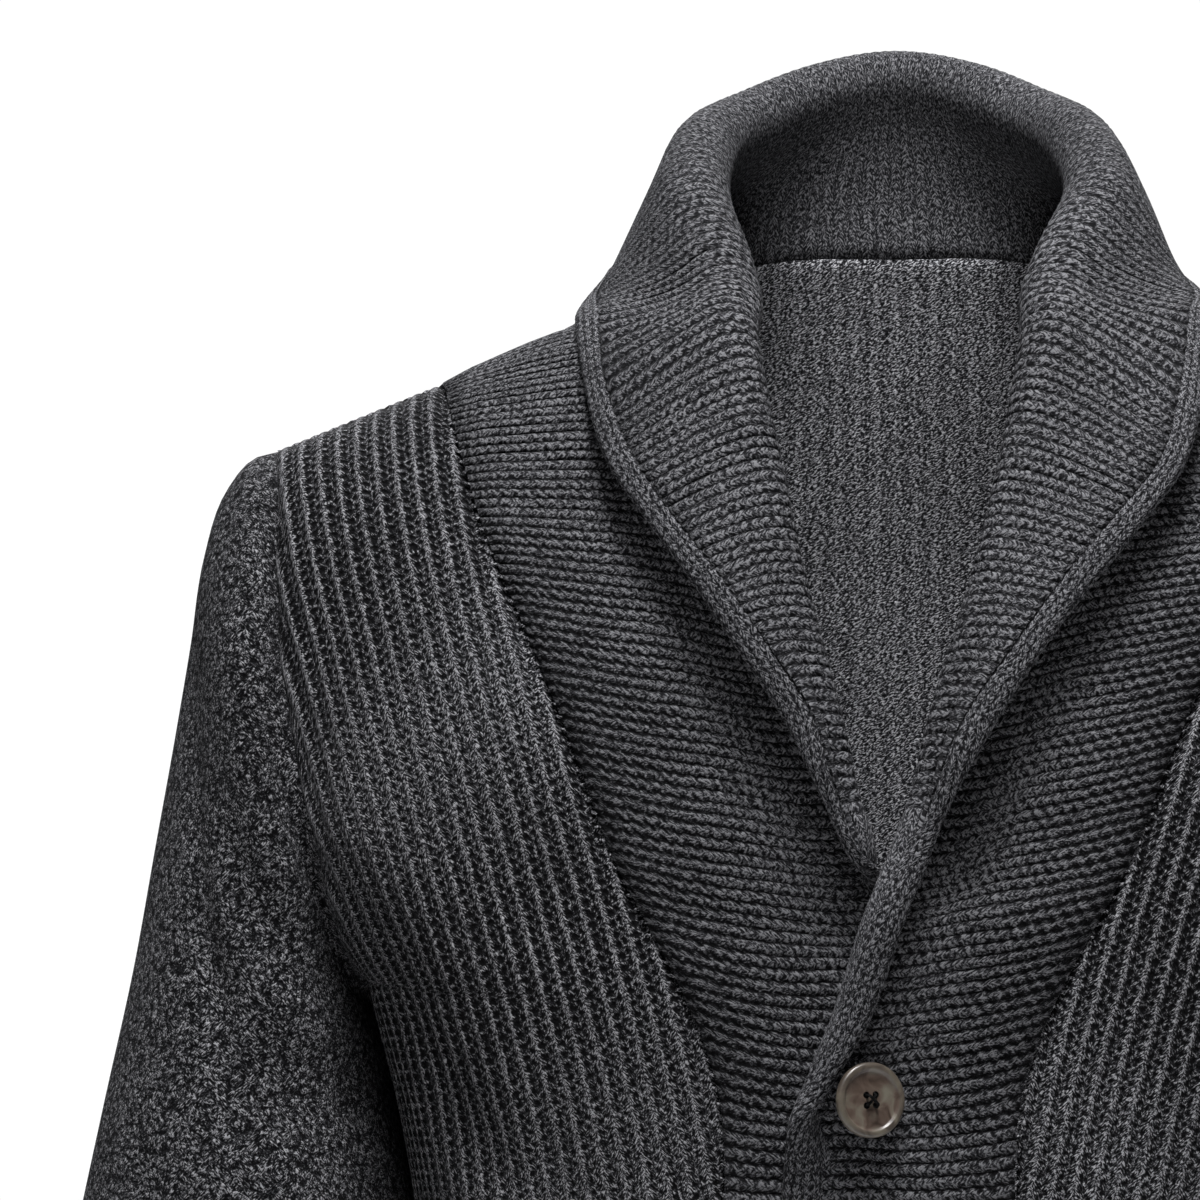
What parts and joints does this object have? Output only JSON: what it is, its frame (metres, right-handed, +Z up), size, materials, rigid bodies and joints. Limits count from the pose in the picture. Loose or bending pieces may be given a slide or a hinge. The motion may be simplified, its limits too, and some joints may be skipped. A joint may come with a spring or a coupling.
{
  "type": "shawl collar cardigan",
  "caption": "Chunky charcoal knit cardigan with a turned-down shawl collar and ribbed button bands, buttoned and filled out with no wearer, open at neck, hem and cuffs.",
  "frame": {"origin": "midway between the wearer's two high shoulder points, where the shoulders and neck carry the garment", "axes": "+Z up the wearer's body, -Y out of the garment's front, +X towards the wearer's left sleeve"},
  "size_m": [0.709, 0.257, 0.7851],
  "materials": {
    "charcoal_knit": "matte",
    "charcoal_rib": "matte",
    "charcoal_edging": "matte",
    "horn_button": "gloss",
    "black_thread": "matte"
  },
  "bodies": {
    "root": {"back": "charcoal_knit", "front_right": "charcoal_knit", "front_left": "charcoal_knit", "sleeve_right": "charcoal_knit", "sleeve_left": "charcoal_knit", "shawl_collar": "charcoal_rib", "collar_edging": "charcoal_edging", "button_1": "horn_button", "button_2": "horn_button", "button_3": "horn_button", "button_4": "horn_button", "button_5": "horn_button", "button_thread_1a": "black_thread", "button_thread_1b": "black_thread", "button_thread_2a": "black_thread", "button_thread_2b": "black_thread", "button_thread_3a": "black_thread", "button_thread_3b": "black_thread", "button_thread_4a": "black_thread", "button_thread_4b": "black_thread", "button_thread_5a": "black_thread", "button_thread_5b": "black_thread"}
  },
  "joints": []
}
